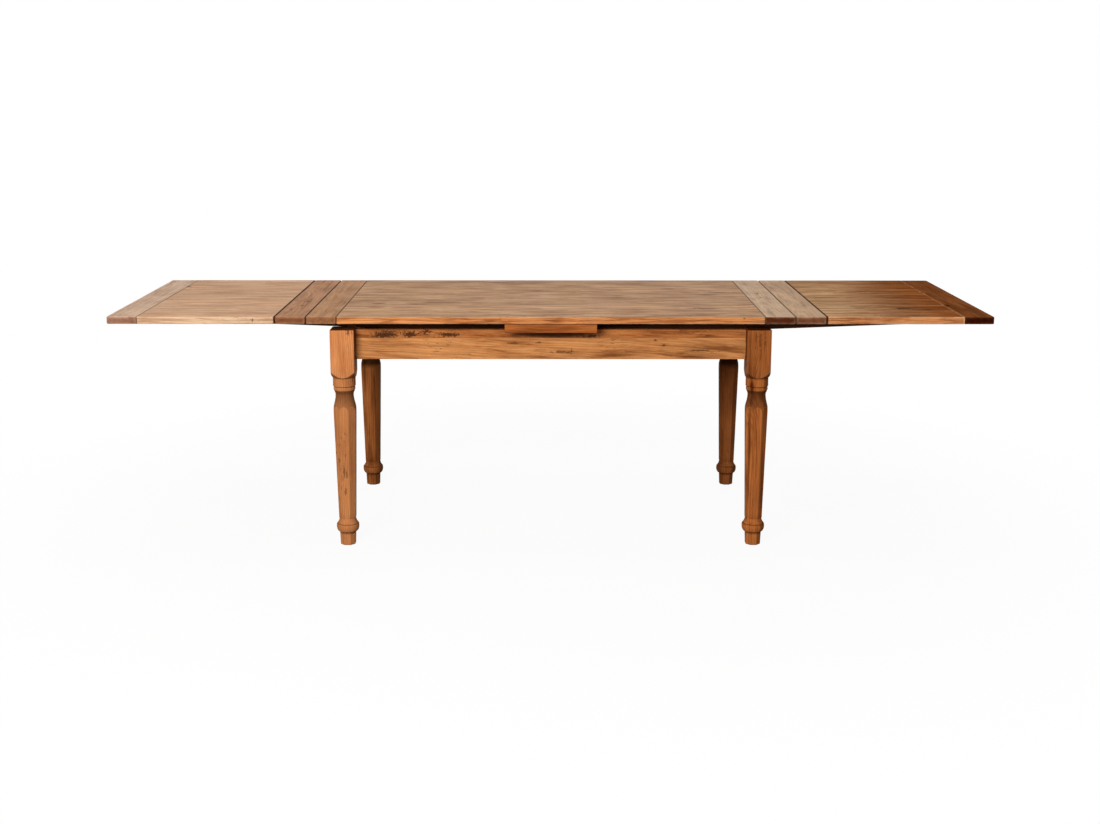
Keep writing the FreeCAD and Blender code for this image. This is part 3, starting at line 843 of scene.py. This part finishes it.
def turnLeg(name, turn, neck, dull):
    low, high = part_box(name)
    middleX, middleY = (low.x + high.x) / 2, (low.y + high.y) / 2
    way = 1 if middleX > 0 else -1
    count = leg["around"]
    spots, faces, arris, hollow = [], [], [], []
    for z in levels:
        for i in range(count):
            angle = 2 * math.pi * i / count
            r = legRadius(z, angle)
            if z < leg["lobeBottom"]:
                r -= handTurned(z, angle, turn)
            x, y = r * math.cos(angle), r * math.sin(angle)
            spots.append((middleX + x / millimetres, middleY + y / millimetres, z / millimetres))
            arris.append(arrisWearAndHighlight(z, angle))
            hollow.append(paintedShadeAndDirt(z, x, y, way, middleY > 0, neck, dull))
    for row in range(len(levels) - 1):
        for i in range(count):
            j = (i + 1) % count
            faces.append((row * count + i, (row + 1) * count + i, (row + 1) * count + j, row * count + j))
    last = (len(levels) - 1) * count
    faces.append(tuple(range(count)))
    faces.append(tuple(last + i for i in reversed(range(count))))
    mesh = meshOf("turned " + name, spots, faces)
    for label, values in (("arris", arris), ("hollow", hollow)):
        mesh.attributes.new(label, "FLOAT", "POINT").data.foreach_set("value", values)
    mesh.shade_smooth()
    mesh.set_sharp_from_angle(angle=leg["sharpFrom"])
    piece = setOut("turned_" + name, mesh)
    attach(piece, "frame")
    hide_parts(name)
    return piece, tuple(low), tuple(high)


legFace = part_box("front_left_leg")[0].y


def legMark(x, z, wide, high, sunk=0.0):    # on the front of a leg, sunk where the leg is slimmer
    return (x, legFace + sunk, z), (wide, mark["intoLeg"], high)


legWood = {**plainCut, "rings": 0.006, "knots": 0.2, "flecks": 0.3, "grime": 0.25, "bump": 0.3,
           "pith": (0.05, -0.06), "shine": 0.01, "figure": (1.3, 1.2)}
# neck is how dark the painted shade in the neck is, dull how dark the block is and how dark all below it
legColours = {
    "front_left_leg": {
        "pale": (226, 152, 97), "honey": (204, 124, 66), "dark": (150, 82, 38), "streaks": 0.3, "flecks": 0.9,
        "neck": 0.85, "dull": (0.0, 0.2), "markDepth": 0.65,
        "marks": [legMark(-0.692, 0.262, 0.006, 0.036, 0.008), legMark(-0.684, 0.25, 0.004, 0.02, 0.008),
                  legMark(-0.689, 0.19, 0.006, 0.022, 0.01)]},
    "front_right_leg": {
        "pale": (200, 121, 64), "honey": (158, 86, 39), "dark": (76, 36, 15), "streaks": 0.75,
        "figure": (1.1, 1.7), "neck": 0.85, "dull": (0.26, 0.04), "markDepth": 0.65,
        "marks": [legMark(0.676, 0.715, 0.004, 0.045), legMark(0.69, 0.71, 0.006, 0.05),
                  legMark(0.706, 0.7, 0.004, 0.04)]},
    # the rear legs' wood darker than the front legs', partly painted shade under the table
    "rear_left_leg": {
        "pale": (182, 112, 60), "honey": (150, 86, 42), "dark": (88, 44, 20), "streaks": 0.8,
        "neck": 0.8, "dull": (0.0, 0.0)},
    "rear_right_leg": {
        "pale": (164, 98, 52), "honey": (132, 74, 36), "dark": (78, 38, 18), "streaks": 0.8,
        "neck": 0.8, "dull": (0.0, 0.0)},
}
turnApart = 1.7                          # so that no two legs are out of round alike
for number, (name, colours) in enumerate(legColours.items()):
    piece, low, high = turnLeg(name, turnApart * number, colours["neck"], colours["dull"])
    finish = waxedWood(name + " finish", {**legWood, **colours}, low, high, "z", painted=True)
    piece.data.materials.append(finish)
print("legs turned")


# countersunk slotted screws, old steel

screw = {"radius": 0.0048, "proud": 0.00012, "slot": 0.0011, "depth": 0.0009, "steps": 12,
         "onLoper": (0.84, 1.06, 1.28), "keeperInset": 0.0075, "onBoard": (-0.1, 0.1), "turns": (0, 3)}
screwSteel = {"rust": (420.0, 420.0, 420.0), "rustKind": (4.0, 0.65), "rusted": (0.42, 0.66),
              "rough": (0.38, 0.8), "metal": (0.95, 0.2), "scratch": (2600.0, 300.0, 900.0),
              "scratchKind": (2.0, 0.5), "bump": 0.25, "bumpReach": 0.0002}


def makeSteel():
    material, tree = blankFinish("old screw steel")
    place = put(tree, "TexCoord").outputs["Object"]
    rust = cloud(tree, stretch(tree, place, *screwSteel["rust"]), *screwSteel["rustKind"])
    rust = ease(tree, rust, *screwSteel["rusted"])
    scratch = cloud(tree, stretch(tree, place, *screwSteel["scratch"]), *screwSteel["scratchKind"])
    bump = put(tree, "Bump", {
        "Strength": screwSteel["bump"], "Distance": screwSteel["bumpReach"], "Height": scratch})
    closeFinish(tree, put(tree, "BsdfPrincipled", {
        "Base Color": lay(tree, rust, tone(128, 122, 114), tone(92, 54, 32)),
        "Roughness": ease(tree, rust, 0.0, 1.0, *screwSteel["rough"]),
        "Metallic": ease(tree, rust, 0.0, 1.0, *screwSteel["metal"]), "Normal": bump.outputs[0]}))
    return material


def screwHead():                         # a disc crossed by a slot: two halves with a sunk strip between them
    r, steps = screw["radius"], screw["steps"]
    half = screw["slot"] / 2
    reach = math.sqrt(r * r - half * half)
    start = math.asin(half / r)
    arc = [start + (math.pi - 2 * start) * i / steps for i in range(steps + 1)]
    spots, faces = [], []
    for sign in (1, -1):
        first = len(spots)
        under = first + steps + 1
        for z in (screw["proud"], -screw["depth"]):
            spots += [(r * math.cos(a), sign * r * math.sin(a), z) for a in arc]
        rim = [(first + i, under + i, under + i + 1, first + i + 1) for i in range(steps)]
        for face in (tuple(range(first, under)), *rim, (first, first + steps, under + steps, under)):
            faces.append(face if sign > 0 else face[::-1])
    first = len(spots)
    corners = ((-reach, -half), (reach, -half), (reach, half), (-reach, half))
    spots += [(x, y, -screw["depth"]) for x, y in corners]
    faces.append((first, first + 1, first + 2, first + 3))
    return spots, faces


steel = makeSteel()


def driveScrew(name, body, spot, up):
    mesh = meshOf(name, *screwHead())
    mesh.materials.append(steel)
    piece = setOut(name, mesh)
    turn = dice.uniform(*screw["turns"])
    piece.location = spot
    piece.rotation_mode = "QUATERNION"
    piece.rotation_quaternion = Vector(up).to_track_quat("Z", "Y") @ Euler((0, 0, turn)).to_quaternion()
    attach(piece, body)


drawAxis = next(joint["axis"] for joint in frame["joints"] if joint["name"] == "right_leaf_draw")
slope = drawAxis[2] / drawAxis[0]        # the lopers rise this much towards their outer ends
for side, sign in (("left", -1), ("right", 1)):
    for place in ("front", "rear"):
        low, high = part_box(f"{side}_{place}_loper")
        y = (low.y + high.y) / 2
        for step, x in enumerate(screw["onLoper"]):
            spot = (sign * x, y, low.z + slope * (x - min(abs(low.x), abs(high.x))))
            driveScrew(f"{side}_{place}_loper_screw_{step + 1}", f"{side}_leaf", spot, (sign * slope, 0, -1))
        low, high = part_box(f"{side}_{place}_keeper")
        x = (low.x + high.x) / 2
        for step, y in enumerate((low.y + screw["keeperInset"], high.y - screw["keeperInset"])):
            driveScrew(f"{side}_{place}_keeper_screw_{step + 1}", "frame", (x, y, low.z), (0, 0, -1))
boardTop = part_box("centre_board")[1].z
apronLow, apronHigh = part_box("rear_apron_upper_strip")
overApron = (apronLow.y + apronHigh.y) / 2
for step, (x, y) in enumerate((x, y) for y in (-overApron, overApron) for x in screw["onBoard"]):
    driveScrew(f"centre_board_screw_{step + 1}", "frame", (x, y, boardTop), (0, 0, 1))
print("screws driven")


# floor, sky, lamps and camera

white = (1.0, 1.0, 1.0, 1.0)
studio = {"floorHalf": 40.0, "floorDrop": 0.0005, "floorTone": (0.95, 0.95, 0.95, 1.0),
          "bounce": (0.14, 0.11, 0.08, 1.0), "shadow": 0.06, "shadowReach": (1.0, 2.6), "ambient": 0.16}
daylight = (1.0, 0.97, 0.93)
lamps = {
    "key lamp": {"spot": (-1.9, -4.8, 2.2), "aim": (-0.1, 0.0, 0.6), "size": (2.4, 1.6), "power": 228.0,
                 "colour": daylight},
    "overhead lamp": {"spot": (-0.2, 0.1, 3.2), "aim": (-0.2, 0.1, 0.0), "size": (2.8, 1.0), "power": 18.0,
                      "colour": daylight},
    "fill lamp": {"spot": (2.6, -4.4, 1.6), "aim": (0.5, 0.0, 0.5), "size": (2.4, 1.8), "power": 20.0,
                  "colour": (1.0, 0.84, 0.68)},
    "back lamp": {"spot": (0.6, 4.4, 3.4), "aim": (0.0, 0.0, 0.5), "size": (3.0, 2.0), "power": 46.0,
                  "colour": daylight},
}


def seenStraight(tree):                  # by the camera, in a reflection or through glass
    ray = put(tree, "LightPath").outputs
    return greatest(tree, [ray["Is Camera Ray"], ray["Is Glossy Ray"], ray["Is Transmission Ray"]])


def makeFloor():
    half = studio["floorHalf"]
    corners = [(-half, -half, 0), (half, -half, 0), (half, half, 0), (-half, half, 0)]
    mesh = meshOf("floor", corners, [(0, 1, 2, 3)])
    floor = setOut("floor", mesh)
    floor.location.z = -studio["floorDrop"]
    material, tree = blankFinish("pale floor")
    seen = seenStraight(tree)
    matt = put(tree, "BsdfDiffuse", {"Color": lay(tree, seen, studio["bounce"], studio["floorTone"])})
    glow = put(tree, "Emission", {"Color": white, "Strength": 1.0})
    away = steer(tree, "LENGTH", put(tree, "TexCoord").outputs["Object"], outlet="Value")
    shadow = ease(tree, away, *studio["shadowReach"], studio["shadow"], 0.0)
    amount = times(tree, seen, reckon(tree, "SUBTRACT", 1.0, shadow))
    closeFinish(tree, put(tree, "MixShader", {0: amount, 1: matt.outputs[0], 2: glow.outputs[0]}))
    mesh.materials.append(material)


def makeSky():
    world = bpy.data.worlds.new("studio sky")
    bpy.context.scene.world = world
    world.use_nodes = True
    tree = world.node_tree
    tree.nodes.clear()
    strength = more(tree, seenStraight(tree), 1.0 - studio["ambient"], studio["ambient"])
    sky = put(tree, "Background", {"Color": white, "Strength": strength})
    tree.links.new(sky.outputs[0], put(tree, "OutputWorld").inputs["Surface"])


def hangLamp(name, given):
    lamp = bpy.data.lights.new(name, "AREA")
    lamp.shape = "RECTANGLE"
    lamp.size, lamp.size_y = given["size"]
    lamp.energy = given["power"]
    lamp.color = given["colour"]
    piece = setOut(name, lamp)
    piece.location = given["spot"]
    piece.rotation_euler = (Vector(given["aim"]) - Vector(given["spot"])).to_track_quat("-Z", "Y").to_euler()


makeFloor()
makeSky()
for name, given in lamps.items():
    hangLamp(name, given)

# angles in degrees, focal length and middle row in pixels of the picture
eye = {"spot": (-0.0222, -5.2987, 1.5602), "down": 11.427, "turn": -0.218, "roll": -0.059, "focal": 1503.4,
       "centreRow": 380.0, "frame": (1100, 824), "sensor": 36.0, "farthest": 200.0}


def setCamera():
    wide, high = eye["frame"]
    camera = bpy.data.cameras.new("camera")
    camera.sensor_width = eye["sensor"]
    camera.lens = eye["focal"] * eye["sensor"] / wide
    camera.shift_y = (eye["centreRow"] - high / 2) / wide
    camera.dof.use_dof = False
    camera.clip_end = eye["farthest"]
    piece = setOut("camera", camera)
    piece.location = eye["spot"]
    piece.rotation_euler = [math.radians(a) for a in (90.0 - eye["down"], eye["roll"], eye["turn"])]
    bpy.context.scene.camera = piece


setCamera()
bpy.context.scene.view_settings.view_transform = "Standard"
print("studio set up")
